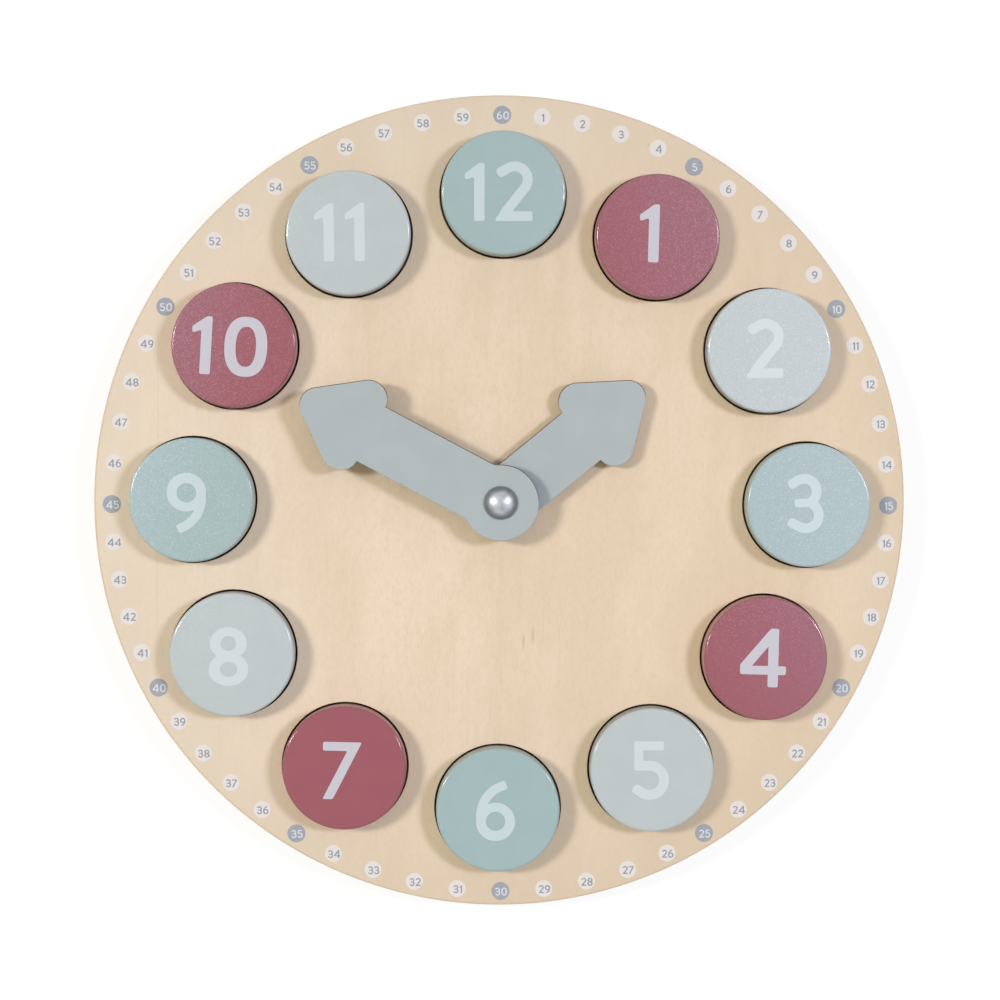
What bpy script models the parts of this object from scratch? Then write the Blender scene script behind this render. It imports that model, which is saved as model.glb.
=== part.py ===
"""Wooden teaching clock, built as its separate pieces.

A face board with twelve round pockets is glued to a plain back board. Twelve number discs
sit loose in the pockets, and two arrow hands turn on one rivet through the middle.

Units are metres, +Z up. The clock lies on its back: +Z comes out of the dial, +Y points to
the hour 12 and +X to the hour 3. The origin is the centre of the back face.
"""

from math import acos, atan2, cos, pi, radians, sin, sqrt

import bmesh
import bpy

# Clearances
seat_gap = 0.0003
bore_clearance = 0.0003
pocket_clearance = 0.0005
recess_clearance = 0.001

# Number discs, each half sunk in its pocket
hour_count = 12
disc_diameter = 0.0334
disc_thickness = 0.012
disc_edge_round = 0.0007

# Boards: the wood left between two pockets, and from a pocket to the rim, sets their diameter
pocket_web = 0.0086
rim_width = 0.00973
face_board_thickness = 0.006
back_board_thickness = 0.0035
board_edge_round = 0.0006

# Hands, cut from one sheet of thin plywood
hand_thickness = 0.0027
hand_edge_round = 0.0002
stem_width = 0.0165
hub_shoulder = 0.002
hub_fillet = 0.004
head_length = 0.0212
barb_overhang = 0.0048
barb_radius = 0.0051
tip_radius = 0.0048
minute_tip_clearance = 0.0059
hour_hand_reach_share = 0.816

# Where the hands stand, clockwise from the hour 12
minute_hand_bearing = radians(297.5)
hour_hand_bearing = radians(50.2)

# Pivot rivet and its washers
shank_diameter = 0.005
rivet_head_diameter = 0.009
rivet_head_height = 0.00225
rivet_tail_diameter = 0.0078
rivet_tail_height = 0.0012
hand_washer_diameter = 0.012
hand_washer_thickness = 0.0005
rear_washer_diameter = 0.012
rear_washer_thickness = 0.0008

# Facets
board_segments = 120
disc_segments = 40
bore_segments = 32
board_edge_steps = 2
disc_edge_steps = 2
hand_edge_steps = 1
hub_steps = 27
fillet_steps = 3
barb_steps = 14
tip_steps = 12
tail_steps = 3
dome_steps = 6
smooth_angle = radians(40)
merge_distance = 0.00001

# Heights of the stack, from the back face up
face_board_bottom = back_board_thickness + seat_gap
face_board_top = face_board_bottom + face_board_thickness
disc_bottom = back_board_thickness + seat_gap
board_washer_bottom = face_board_top + seat_gap
hour_hand_bottom = board_washer_bottom + hand_washer_thickness + seat_gap
middle_washer_bottom = hour_hand_bottom + hand_thickness + seat_gap
minute_hand_bottom = middle_washer_bottom + hand_washer_thickness + seat_gap
rivet_head_bottom = minute_hand_bottom + hand_thickness + seat_gap
rear_washer_bottom = face_board_bottom - seat_gap - rear_washer_thickness
rivet_tail_top = rear_washer_bottom - seat_gap

# Radii and reaches that follow from the sizes above
pocket_radius = disc_diameter / 2 + pocket_clearance
disc_ring_radius = (2 * pocket_radius + pocket_web) / (2 * sin(pi / hour_count))
board_radius = disc_ring_radius + pocket_radius + rim_width
bore_radius = shank_diameter / 2 + bore_clearance
recess_radius = rear_washer_diameter / 2 + recess_clearance
hub_radius = stem_width / 2 + hub_shoulder
minute_hand_reach = disc_ring_radius - disc_diameter / 2 - minute_tip_clearance
hour_hand_reach = minute_hand_reach * hour_hand_reach_share

# Finishes: colour as red, green and blue on the 0 to 255 scale, roughness, metallic
finishes = {
    "board_veneer": ((231, 211, 187), 0.55, 0.0),
    "disc_teal": ((168, 188, 190), 0.38, 0.0),
    "disc_red": ((164, 103, 115), 0.38, 0.0),
    "disc_grey": ((194, 202, 205), 0.38, 0.0),
    "hand_paint": ((179, 187, 189), 0.5, 0.0),
    "rivet_steel": ((200, 202, 206), 0.25, 1.0),
    "washer_nylon": ((235, 235, 230), 0.45, 0.0),
}
disc_paints = ("disc_teal", "disc_red", "disc_grey")


def linear(level):
    """Turn one colour level of the 0 to 255 scale into linear light."""
    return (level / 255) ** 2.2


def principled(name):
    """Make the material of one finish."""
    colour, roughness, metallic = finishes[name]
    material = bpy.data.materials.new(name)
    material.use_nodes = True
    shader = material.node_tree.nodes["Principled BSDF"]
    shader.inputs["Base Color"].default_value = (*map(linear, colour), 1)
    shader.inputs["Roughness"].default_value = roughness
    shader.inputs["Metallic"].default_value = metallic
    return material


def arc(centre, radius, start, end, steps):
    """Points of an arc from one angle to the other, ends included."""
    angles = [start + (end - start) * step / steps for step in range(steps + 1)]
    return [(centre[0] + radius * cos(angle), centre[1] + radius * sin(angle)) for angle in angles]


def circle(centre, radius, count):
    """Points of a circle, anticlockwise."""
    angles = [2 * pi * step / count for step in range(count)]
    return [(centre[0] + radius * cos(angle), centre[1] + radius * sin(angle)) for angle in angles]


def round_outline(radius, count):
    """A function that gives the circle drawn in by an inset."""
    return lambda inset: circle((0, 0), radius - inset, count)


def hand_outline(reach):
    """A function that gives an arrow hand's outline, pointing along +Y, drawn in by an inset.

    The hub's circle runs through a fillet into the straight stem. Each barb of the head is an
    arc that starts square to the stem's edge, and a straight side, tangent to the barb and to
    the tip, joins the two.
    """
    barb_across = stem_width / 2 + barb_overhang - barb_radius
    barb_along = reach - head_length + barb_radius
    tip_along = reach - tip_radius
    fillet_across = stem_width / 2 + hub_fillet
    fillet_along = sqrt((hub_radius + hub_fillet) ** 2 - fillet_across ** 2)
    fillet_angle = atan2(fillet_along, fillet_across)
    tip_distance = sqrt(barb_across ** 2 + (tip_along - barb_along) ** 2)
    tip_direction = atan2(tip_along - barb_along, -barb_across)
    side_angle = tip_direction - acos((barb_radius - tip_radius) / tip_distance)

    def outline(inset):
        edge_across = stem_width / 2 - inset
        barb = barb_radius - inset
        notch_across = edge_across - barb_across
        notch_angle = atan2(-sqrt(barb ** 2 - notch_across ** 2), notch_across)
        fillet = hub_fillet + inset
        right = arc((fillet_across, fillet_along), fillet, pi + fillet_angle, pi, fillet_steps)
        right += arc((barb_across, barb_along), barb, notch_angle, side_angle, barb_steps)
        left = [(-across, along) for across, along in reversed(right)]
        tip = arc((0, tip_along), tip_radius - inset, side_angle, pi - side_angle, tip_steps)
        hub_end = 2 * pi + fillet_angle
        hub = arc((0, 0), hub_radius - inset, pi - fillet_angle, hub_end, hub_steps)
        return right + tip + left + hub[1:-1]

    return outline


def edge_levels(thickness, edge_round, steps):
    """Insets and heights up a plate's edge, rounded over at its foot and at its top.

    With no steps the edge is square.
    """
    foot = [(0, 0)]
    if steps:
        angles = [pi / 2 * step / steps for step in range(steps + 1)]
        foot = [(edge_round * (1 - sin(angle)), edge_round * (1 - cos(angle))) for angle in angles]
    top = [(inset, thickness - height) for inset, height in reversed(foot)]
    return foot + top


def ring(shape, points, height):
    """Add one closed ring of vertices at a height."""
    return [shape.verts.new((across, along, height)) for across, along in points]


def wall(shape, lower, upper):
    """Join two rings with a band of four-sided faces."""
    for index in range(len(lower)):
        shape.faces.new((lower[index - 1], lower[index], upper[index], upper[index - 1]))


def cap(shape, rings):
    """Fill the flat region between an outer ring and the holes in it."""
    edges = []
    for vertices in rings:
        edges += [shape.edges.get((vertices[i - 1], vertices[i])) for i in range(len(vertices))]
    bmesh.ops.triangle_fill(shape, use_beauty=True, use_dissolve=False, edges=edges)


def finished_mesh(name, shape, finish):
    """Turn the shape into a mesh with smooth round faces and its material."""
    bmesh.ops.recalc_face_normals(shape, faces=shape.faces)
    mesh = bpy.data.meshes.new(name)
    shape.to_mesh(mesh)
    shape.free()
    mesh.shade_smooth()
    mesh.set_sharp_from_angle(angle=smooth_angle)
    mesh.materials.append(finish)
    return mesh


def plate(name, outline, holes, thickness, finish, edge_round=0, edge_steps=0):
    """A flat plate on z = 0 with straight round holes."""
    shape = bmesh.new()
    levels = edge_levels(thickness, edge_round, edge_steps)
    outer = [ring(shape, outline(inset), height) for inset, height in levels]
    for lower, upper in zip(outer, outer[1:]):
        wall(shape, lower, upper)
    low_rings = [outer[0]]
    high_rings = [outer[-1]]
    for points in holes:
        low_rings.append(ring(shape, points, 0))
        high_rings.append(ring(shape, points, thickness))
        wall(shape, low_rings[-1], high_rings[-1])
    cap(shape, low_rings)
    cap(shape, high_rings)
    return finished_mesh(name, shape, finish)


def rivet_profile():
    """Radius and height up the rivet: peened tail, shank and domed head."""
    tail_radius = rivet_tail_diameter / 2
    head_radius = rivet_head_diameter / 2
    tail_bottom = rivet_tail_top - rivet_tail_height
    sphere_radius = (head_radius ** 2 + rivet_head_height ** 2) / (2 * rivet_head_height)
    sphere_height = rivet_head_bottom + rivet_head_height - sphere_radius
    head_angle = acos((sphere_radius - rivet_head_height) / sphere_radius)
    profile = [(0, tail_bottom)]
    for step in range(1, tail_steps + 1):
        angle = pi / 2 * step / tail_steps
        profile.append((tail_radius * sin(angle), rivet_tail_top - rivet_tail_height * cos(angle)))
    profile.append((shank_diameter / 2, rivet_tail_top))
    profile.append((shank_diameter / 2, rivet_head_bottom))
    for step in range(dome_steps):
        angle = head_angle * (1 - step / dome_steps)
        profile.append((sphere_radius * sin(angle), sphere_height + sphere_radius * cos(angle)))
    profile.append((0, rivet_head_bottom + rivet_head_height))
    return profile


def turned(name, profile, finish):
    """A solid of revolution round Z, from a profile that starts and ends on the axis."""
    shape = bmesh.new()
    points = [shape.verts.new((radius, 0, height)) for radius, height in profile]
    edges = [shape.edges.new(pair) for pair in zip(points, points[1:])]
    bmesh.ops.spin(
        shape, geom=points + edges, cent=(0, 0, 0), axis=(0, 0, 1), angle=2 * pi,
        steps=bore_segments, use_merge=True,
    )
    bmesh.ops.remove_doubles(shape, verts=shape.verts, dist=merge_distance)
    return finished_mesh(name, shape, finish)


def place(name, mesh, parent, location, turn=0):
    """Put a mesh into the scene as one named piece."""
    piece = bpy.data.objects.new(name, mesh)
    piece.location = location
    piece.rotation_euler = (0, 0, turn)
    piece.parent = parent
    bpy.context.scene.collection.objects.link(piece)
    return piece


def hour_place(hour):
    """Centre of an hour's pocket, hour 12 at +Y and counting clockwise."""
    bearing = 2 * pi * hour / hour_count
    return disc_ring_radius * sin(bearing), disc_ring_radius * cos(bearing)


def make_boards(clock, finish):
    """The pocketed face board and the back board with its rivet recess."""
    outline = round_outline(board_radius, board_segments)
    holes = [circle((0, 0), bore_radius, bore_segments)]
    for hour in range(1, hour_count + 1):
        holes.append(circle(hour_place(hour), pocket_radius, disc_segments))
    recess = [circle((0, 0), recess_radius, bore_segments)]
    edge = (finish, board_edge_round, board_edge_steps)
    face = plate("face_board", outline, holes, face_board_thickness, *edge)
    back = plate("back_board", outline, recess, back_board_thickness, *edge)
    place("face_board", face, clock, (0, 0, face_board_bottom))
    place("back_board", back, clock, (0, 0, 0))


def make_discs(clock, paints):
    """Twelve number discs, in three paints that take turns round the dial."""
    outline = round_outline(disc_diameter / 2, disc_segments)
    meshes = [
        plate(paint.name, outline, [], disc_thickness, paint, disc_edge_round, disc_edge_steps)
        for paint in paints
    ]
    for hour in range(1, hour_count + 1):
        mesh = meshes[hour % len(meshes)]
        place(f"number_disc_{hour:02d}", mesh, clock, (*hour_place(hour), disc_bottom))


def make_hands(clock, paint):
    """The hour hand, and the minute hand above it."""
    bore = [circle((0, 0), bore_radius, bore_segments)]
    for name, reach, height, bearing in (
        ("hour_hand", hour_hand_reach, hour_hand_bottom, hour_hand_bearing),
        ("minute_hand", minute_hand_reach, minute_hand_bottom, minute_hand_bearing),
    ):
        edge = (paint, hand_edge_round, hand_edge_steps)
        mesh = plate(name, hand_outline(reach), bore, hand_thickness, *edge)
        place(name, mesh, clock, (0, 0, height), -bearing)


def make_pivot(clock, steel, nylon):
    """The rivet, a slip washer under each hand and a steel washer behind the face board."""
    place("pivot_rivet", turned("pivot_rivet", rivet_profile(), steel), clock, (0, 0, 0))
    bore = [circle((0, 0), bore_radius, bore_segments)]
    for name, diameter, thickness, height, finish in (
        ("board_washer", hand_washer_diameter, hand_washer_thickness, board_washer_bottom, nylon),
        ("hand_washer", hand_washer_diameter, hand_washer_thickness, middle_washer_bottom, nylon),
        ("rear_washer", rear_washer_diameter, rear_washer_thickness, rear_washer_bottom, steel),
    ):
        outline = round_outline(diameter / 2, bore_segments)
        mesh = plate(name, outline, bore, thickness, finish)
        place(name, mesh, clock, (0, 0, height))


def main():
    for old in list(bpy.data.objects):
        bpy.data.objects.remove(old, do_unlink=True)
    clock = bpy.data.objects.new("teaching_clock", None)
    bpy.context.scene.collection.objects.link(clock)
    materials = {name: principled(name) for name in finishes}
    make_boards(clock, materials["board_veneer"])
    make_discs(clock, [materials[name] for name in disc_paints])
    make_hands(clock, materials["hand_paint"])
    make_pivot(clock, materials["rivet_steel"], materials["washer_nylon"])


main()
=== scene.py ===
"""Looks of the wooden teaching clock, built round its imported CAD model.

Lengths are metres. The clock lies on its back with the hour 12 at +Y, and every piece has its
place in its mesh, so that an object's own coordinates are those of the clock at rest.
"""

from itertools import starmap
from math import acos, atan2, copysign, cos, hypot, pi, radians, sin, sqrt

import bmesh
import bpy
from mathutils import Matrix, Vector


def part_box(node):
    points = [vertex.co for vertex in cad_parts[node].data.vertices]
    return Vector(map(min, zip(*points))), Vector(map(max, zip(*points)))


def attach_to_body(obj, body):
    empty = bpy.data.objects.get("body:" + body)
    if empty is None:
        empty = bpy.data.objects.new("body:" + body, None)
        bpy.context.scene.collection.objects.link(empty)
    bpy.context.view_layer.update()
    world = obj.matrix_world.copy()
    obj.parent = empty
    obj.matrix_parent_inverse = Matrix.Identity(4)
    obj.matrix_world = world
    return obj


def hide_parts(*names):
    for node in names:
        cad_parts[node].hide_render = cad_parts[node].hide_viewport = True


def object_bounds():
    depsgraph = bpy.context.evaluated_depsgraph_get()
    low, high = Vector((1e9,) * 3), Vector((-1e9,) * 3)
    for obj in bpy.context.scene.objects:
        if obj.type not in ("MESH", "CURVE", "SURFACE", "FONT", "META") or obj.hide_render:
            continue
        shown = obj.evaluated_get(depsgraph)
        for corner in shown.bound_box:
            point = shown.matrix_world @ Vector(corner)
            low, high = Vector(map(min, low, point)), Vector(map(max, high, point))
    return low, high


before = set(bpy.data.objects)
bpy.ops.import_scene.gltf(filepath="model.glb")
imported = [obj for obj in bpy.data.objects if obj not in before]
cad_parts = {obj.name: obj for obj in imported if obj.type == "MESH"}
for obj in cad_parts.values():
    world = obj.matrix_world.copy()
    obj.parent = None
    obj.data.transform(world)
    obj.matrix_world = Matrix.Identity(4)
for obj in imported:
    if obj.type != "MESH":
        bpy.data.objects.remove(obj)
cad_low, cad_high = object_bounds()

# The photograph's framing, in pixels of its 1000 by 1000 frame
image_size = 1000
board_radius_pixels = 405.16
numeral_height_pixels = 59.0
numeral_shift_pixels = {
    1: (-8.6, -3.3), 2: (-4.6, -2.0), 3: (-3.4, -1.8), 4: (-2.5, -1.0), 5: (-1.5, 0.3), 6: (-2.4, 1.4),
    7: (-2.6, 1.7), 8: (-3.2, 1.7), 9: (-4.6, 2.4), 10: (-4.1, 0.6), 11: (-8.5, -0.8), 12: (-4.8, -1.2),
}
minute_digit_shift_pixels = (0.7, 0.6)
veneer_speck_pixels = ((648, 146), (727, 842))
veneer_streak_pixels = ((523.5, 642), (533, 635))
veneer_joint_pixel = 158

# Camera: how far above the board, how far it leans to the left and to the top, and its turn
camera_distance = 0.6
camera_lean_left = 0.0178
camera_lean_up = 0.0276
camera_turn = radians(0.52)
camera_aim = (-0.00009, 0.00055)
sensor_width = 36

# Lamps: one on each side, a little towards the hour 12, and the even light of the sky
lamp_along = 0.3
lamp_height = 1.57
lamp_diameter = 0.5
left_lamp_across = -1.42
left_lamp_power = 32.2
left_lamp_colour = (1.0, 0.976, 0.9)
right_lamp_across = 1.27
right_lamp_power = 29.6
right_lamp_colour = (0.71, 0.74, 0.91)
lamp_aim = (-0.3, -2.8)
sky_strength = 0.375
sky_colour = (1.0, 0.97, 0.81)

# Arrow hands
stem_width = 0.0165
hub_shoulder = 0.002
hub_fillet = 0.004
head_length = 0.0212
barb_overhang = 0.0048
barb_radius = 0.0051
tip_radius = 0.0048
hand_edge_round = 0.0002

# Edges and fits that show
board_edge_round = 0.0006
disc_edge_round = 0.0007
pocket_clearance = 0.0005
pocket_mouth_round = 0.00005
bore_mouth_round = 0.0001
recess_clearance = 0.001
washer_edge_round = 0.0001
glue_line = 0.00005
seat_gap = 0.0003

# Rivet
shank_radius = 0.0025
tail_radius = 0.0039
lip_round = 0.00012
merge_distance = 0.000001

# Width of the strip that keeps a flat face's shading flat up to its rounded edge
flat_strip = 0.00025

# Floor, and the distances from the clock between which its glow grows
floor_reach = 3.0
floor_gap = 0.0002
glow_reach = (0.3, 1.6)

# Print: numerals on the discs, and the minute ring round the rim
numeral_stroke = 0.18
numeral_gap = 0.182
wide_gap = {10: 0.219}
numeral_thickness = 0.00005
numeral_tilt_degrees = {1: 1.6, 4: 1.5, 7: 1.4, 10: 3.3, 11: -0.8}
corner_round = 0.035
longest_corner_share = 1 / 2.2
corner_steps = 4
stroke_end_share = 0.42
minute_ring_radius = 0.1054
minute_ring_shift = (0.00026, -0.00075)
minute_ring_turn = radians(0.13)
minute_stray_upper = radians(-0.5)
minute_stray_lower = radians(2.1)
minute_dot_diameter = 0.00463
five_minute_dot_diameter = 0.00488
minute_digit_height = 0.00218
minute_digit_stroke = 0.165
minute_digit_gap = 0.13
dot_thickness = 0.00003
digit_thickness = 0.00002

# Veneer: where its tone changes, from none to full
rim_shade_width = (0.016, 0.001)
off_middle_shade_reach = (0.025, 0.09)
cooler_left_reach = (-0.02, -0.095)
cooler_top_reach = (0.06, 0.105)
yellower_right_reach = (0.0, 0.08)

# Marks on the veneer: how far from its line or point each starts, and is full
joint_line_fade = (0.00035, 0.0001)
speck_fade = (0.00045, 0.00012)
streak_fade = (0.0006, 0.0001)
streak_slimness = 0.17
scorch_and_shade_fade = (0.0004, 0.00015)

# Ragged and wavy lines, and two plies of a hand
ragged_reach = 0.0003
ply_waver = 0.0004
hand_ply_pair = 0.0009

# Paint: fades above its lower line, char, and wear with a painted highlight, below the top, nibs with
# painted glints and a painted sheen along the dial
disc_paint_fade = (0.00008, 0.0002)
hand_paint_fade = (0.00008, 0.00016)
hand_char_drop = (0.0006, 0.0003)
wear_and_highlight_drop = (0.0001, 0.0005)
flat_facing = (0.965, 0.995)
dark_line_facing = (-0.1, 0.18)
coarse_glint_middle = -0.015
coarse_glint_reach = (0.0, 0.09)
coarse_glint_along = (-0.07, 0.0)
sheen_slant = 0.35
right_sheen_reach = (0.03, 0.1)
left_sheen_reach = (0.074, 0.108)

# The part of its range that noise mostly keeps to
noise_range = (0.3, 0.7)

# Counts
hour_count = 12
minute_count = 60
round_segments = 96
board_segments = 256
small_segments = 48
dome_steps = 16
arc_steps = 28
rim_steps = 5
hand_edge_steps = 3
washer_edge_steps = 2
mouth_steps = 2
smooth_angle = radians(35)


# Colours and shader nodes


def linear(level):
    """Turn one colour level of the 0 to 255 scale into linear light."""
    level /= 255
    return level / 12.92 if level <= 0.04045 else ((level + 0.055) / 1.055) ** 2.4


def colour(red, green, blue):
    """A colour of the 0 to 255 scale as a shader takes it."""
    return linear(red), linear(green), linear(blue), 1


def grey(level):
    """A grey of linear light as a shader takes it."""
    return level, level, level, 1


def scaled(tone, factor):
    """A tone made lighter or darker by a factor."""
    return tuple(min(1, factor * channel) for channel in tone)


def connect(tree, value, socket):
    """Link an output to a socket, or set the socket to a value."""
    if isinstance(value, bpy.types.NodeSocket):
        tree.links.new(value, socket)
    else:
        socket.default_value = value


def add(tree, kind, inputs=(), **settings):
    """Add a shader node with its settings and inputs."""
    made = tree.nodes.new("ShaderNode" + kind)
    for name, value in settings.items():
        setattr(made, name, value)
    for key, value in dict(inputs).items():
        connect(tree, value, made.inputs[key])
    return made


def new_material(name):
    """A material with its node tree."""
    made = bpy.data.materials.new(name)
    made.use_nodes = True
    return made, made.node_tree


def own_place(tree):
    """X, Y and Z of the surface in the piece's own coordinates."""
    place = add(tree, "TexCoord").outputs["Object"]
    return add(tree, "SeparateXYZ", {0: place}).outputs


def facing(tree):
    """X, Y and Z of the way that the surface faces, in the piece's own coordinates."""
    normal = add(tree, "TexCoord").outputs["Normal"]
    return add(tree, "SeparateXYZ", {0: normal}).outputs


def lumps(tree, size, detail=2.0, roughness=0.5, turn=0.0, shift=0.0):
    """Noise from 0 to 1 with lumps of the given size along X, Y and Z."""
    place = add(tree, "TexCoord").outputs["Object"]
    turned_place = add(tree, "Mapping", {0: place, "Rotation": (0, 0, turn)}).outputs[0]
    scale = tuple(1 / length for length in size)
    fitted = add(tree, "Mapping", {0: turned_place, "Location": (shift, shift, shift), "Scale": scale})
    inputs = {"Vector": fitted.outputs[0], "Scale": 1.0, "Detail": detail, "Roughness": roughness}
    return add(tree, "TexNoise", inputs).outputs["Fac"]


def calculate(tree, operation, *values):
    """One arithmetic step."""
    return add(tree, "Math", dict(enumerate(values)), operation=operation).outputs[0]


def multiply(tree, first, second):
    """One value times another."""
    return calculate(tree, "MULTIPLY", first, second)


def distance(tree, value, target):
    """How far a value is from a target, either way."""
    return calculate(tree, "ABSOLUTE", calculate(tree, "SUBTRACT", value, target))


def between(tree, value, low, high, start=0.0, end=1.0):
    """Run smoothly from start to end as the value goes from low to high."""
    inputs = {"Value": value, "From Min": low, "From Max": high, "To Min": start, "To Max": end}
    return add(tree, "MapRange", inputs, interpolation_type="SMOOTHSTEP").outputs[0]


def varied(tree, noise, low, high):
    """Run from low to high with a noise."""
    return between(tree, noise, *noise_range, low, high)


def mixed(tree, share, first, second):
    """Two colours or values mixed by a share of the second."""
    return add(tree, "Mix", {0: share, 6: first, 7: second}, data_type="RGBA").outputs[2]


def tinted(tree, tone, tint, value, none_at, full_at, share=1.0):
    """A tone that takes up a share of a tint as the value goes from one number to the other."""
    return mixed(tree, between(tree, value, none_at, full_at, 0.0, share), tone, tint)


def surfaced(made, tone, roughness, height, depth, metallic=0.0):
    """The material with its colour, its roughness and a relief from a height between 0 and 1."""
    tree = made.node_tree
    inputs = tree.nodes["Principled BSDF"].inputs
    relief = add(tree, "Bump", {"Height": height, "Distance": depth, "Strength": 1.0}).outputs[0]
    settings = {"Base Color": tone, "Roughness": roughness, "Metallic": metallic, "Normal": relief}
    for name, value in settings.items():
        connect(tree, value, inputs[name])
    return made


# Places on the dial, for its materials


def span(tree, across, along):
    """Length of a line from its two parts."""
    across_squared = multiply(tree, across, across)
    return calculate(tree, "SQRT", calculate(tree, "MULTIPLY_ADD", along, along, across_squared))


def from_pivot(tree):
    """Distance from the pivot's axis."""
    return span(tree, *own_place(tree)[:2])


def pocket_distance(tree):
    """Distance on the board from the middle of the nearest pocket."""
    across, along, _ = own_place(tree)
    radius = from_pivot(tree)
    bearing = calculate(tree, "ARCTAN2", across, along)
    turn = calculate(tree, "PINGPONG", calculate(tree, "ADD", bearing, 2 * pi), pi / hour_count)
    sideways = multiply(tree, radius, calculate(tree, "SINE", turn))
    outwards = multiply(tree, radius, calculate(tree, "COSINE", turn))
    outwards = calculate(tree, "SUBTRACT", outwards, disc_ring_radius)
    return span(tree, sideways, outwards)


def haze_share(tree):
    """How much painted sheen the discs' paint and print take: most at the right, and at the far left."""
    across, along, _ = own_place(tree)
    to_right = calculate(tree, "MULTIPLY_ADD", along, sheen_slant, across)
    to_left = calculate(tree, "MULTIPLY_ADD", across, -1, multiply(tree, along, sheen_slant))
    right_sheen = between(tree, to_right, *right_sheen_reach)
    left_sheen = between(tree, to_left, *left_sheen_reach, 0.0, 0.75)
    return calculate(tree, "MAXIMUM", right_sheen, left_sheen)


def coarseness(tree):
    """How coarse the nibs in the discs' paint are, and how much painted glint they take: most on the discs
    at both sides.
    """
    across, along, _ = own_place(tree)
    sideways = between(tree, distance(tree, across, coarse_glint_middle), *coarse_glint_reach, 0.04, 0.64)
    return multiply(tree, sideways, between(tree, along, *coarse_glint_along, 0.1, 1.0))


def coat_share(tree, uneven, line, fade):
    """How much of a coat there is: none below its ragged line, and all of it above its fade."""
    ragged = multiply(tree, uneven, ragged_reach)
    level = calculate(tree, "ADD", own_place(tree)[2], ragged)
    return between(tree, level, line + fade[0], line + fade[1])


# Materials


def veneer_colour(tree, pale, warm, dark):
    """Straight-grained veneer: soft blotches, uneven streaks, short flecks and fine specks."""
    blotches = lumps(tree, (0.02, 0.045, 0.05), detail=4, roughness=0.6, turn=radians(4))
    tone = tinted(tree, pale, warm, blotches, 0.38, 0.64)
    streaks = lumps(tree, (0.0022, 0.03, 0.02), detail=4, roughness=0.7, turn=radians(1), shift=3.0)
    patches = lumps(tree, (0.012, 0.03, 0.02), shift=14.0)
    patch_share = between(tree, patches, 0.35, 0.65, 0.04, 0.2)
    streak_share = multiply(tree, between(tree, streaks, 0.45, 0.75), patch_share)
    tone = mixed(tree, streak_share, tone, dark)
    mottle = lumps(tree, (0.0013, 0.0024, 0.002), detail=3, roughness=0.6, shift=21.0)
    tone = tinted(tree, tone, dark, mottle, 0.42, 0.7, 0.13)
    flecks = lumps(tree, (0.0004, 0.0016, 0.001), roughness=0.65, shift=7.0)
    tone = tinted(tree, tone, dark, flecks, 0.46, 0.74, 0.22)
    specks = lumps(tree, (0.0003, 0.00045, 0.0004), detail=1, shift=17.0)
    return tinted(tree, tone, pale, specks, 0.52, 0.75, 0.16), flecks


def marked(tree, tone):
    """The dial's veneer with the line where two sheets join, two dark specks and two soft streaks."""
    across, along, _ = own_place(tree)
    joint = (veneer_joint_pixel - image_size / 2) * board_pixel
    off_joint = distance(tree, across, joint)
    tone = tinted(tree, tone, colour(196, 166, 134), off_joint, *joint_line_fade, 0.22)
    speck = (1.0, speck_fade, 0.75, colour(140, 92, 60))
    streak = (streak_slimness, streak_fade, 0.6, colour(203, 178, 148))
    marks = [(pixel, *speck) for pixel in veneer_speck_pixels]
    marks += [(pixel, *streak) for pixel in veneer_streak_pixels]
    for pixel, slimness, fade, share, tint in marks:
        x, y = board_point(*pixel)
        sideways = calculate(tree, "SUBTRACT", across, x)
        lengthways = multiply(tree, calculate(tree, "SUBTRACT", along, y), slimness)
        tone = tinted(tree, tone, tint, span(tree, sideways, lengthways), *fade, share)
    return tone


def shaded(tree, tone):
    """The dial's veneer darker towards its rim, with painted shade off its middle towards the top and
    bottom, cooler at the left and top, yellower at the right.
    """
    across, along, _ = own_place(tree)
    darker, cooler, yellower = colour(212, 194, 170), colour(236, 223, 210), colour(222, 199, 166)
    none_at, full_at = (cad_high.x - width for width in rim_shade_width)
    tone = tinted(tree, tone, darker, from_pivot(tree), none_at, full_at, 0.4)
    # Painted shade: the veneer darker towards the top and bottom of the dial.
    tone = tinted(tree, tone, darker, distance(tree, along, 0), *off_middle_shade_reach, 0.4)
    to_left = between(tree, across, *cooler_left_reach, 0.0, 0.34)
    to_top = between(tree, along, *cooler_top_reach, 0.0, 0.22)
    tone = mixed(tree, calculate(tree, "MAXIMUM", to_left, to_top), tone, cooler)
    return tinted(tree, tone, yellower, across, *yellower_right_reach, 0.3)


def scorched(tree, tone):
    """The dial's veneer with ragged brown lips round its pockets: laser scorch, and partly a painted shade
    beside their mouths.
    """
    ragged = multiply(tree, lumps(tree, (0.0008, 0.0008, 0.0008)), ragged_reach)
    off_mouth = calculate(tree, "ADD", pocket_distance(tree), ragged)
    none_at, full_at = (pocket_radius + reach for reach in scorch_and_shade_fade)
    # Laser scorch and painted shade: a thin brown band round each pocket's mouth.
    return tinted(tree, tone, colour(150, 112, 80), off_mouth, none_at, full_at, 0.4)


def face_veneer():
    """Lacquered pale veneer of the dial."""
    made, tree = new_material("face_veneer")
    tones = colour(237, 218, 193), colour(230, 209, 182), colour(204, 177, 146)
    tone, flecks = veneer_colour(tree, *tones)
    tone = scorched(tree, shaded(tree, marked(tree, tone)))
    sheen = lumps(tree, (0.004, 0.012, 0.01), detail=3, shift=1.0)
    return surfaced(made, tone, varied(tree, sheen, 0.5, 0.6), flecks, 0.000012)


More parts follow.
